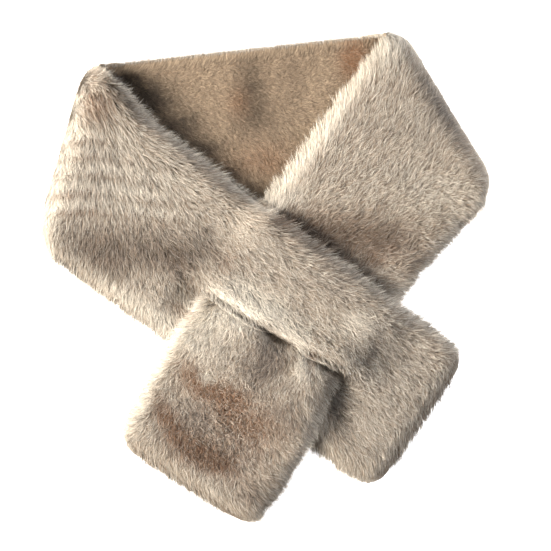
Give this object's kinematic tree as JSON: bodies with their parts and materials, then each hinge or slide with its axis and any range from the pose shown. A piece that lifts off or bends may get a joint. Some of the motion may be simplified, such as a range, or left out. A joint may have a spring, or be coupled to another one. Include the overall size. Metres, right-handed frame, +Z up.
{
  "type": "fur collar wrap",
  "caption": "Flat-laid fur collar wrap: a long strip with a plush inner side, folded over at both sides, one end pulled through a slit in the other.",
  "frame": {"origin": "centre of the laid-out wrap in plan, on the surface it rests on", "axes": "+Z up, away from the surface; +Y towards the back of the neck stretch; +X towards the right-hand fold"},
  "size_m": [0.3632, 0.3948, 0.041],
  "materials": {
    "outer_fur": "long-piled frosted faux fur, cream tips over taupe and red-brown roots",
    "inner_plush": "short soft tan plush"
  },
  "bodies": {
    "root": {"left_arm_outer": "outer_fur", "left_arm_inner": "inner_plush", "neck_outer": "outer_fur", "neck_inner": "inner_plush", "right_arm_outer": "outer_fur", "right_arm_inner": "inner_plush", "right_tail_outer": "outer_fur", "right_tail_inner": "inner_plush"}
  },
  "joints": []
}
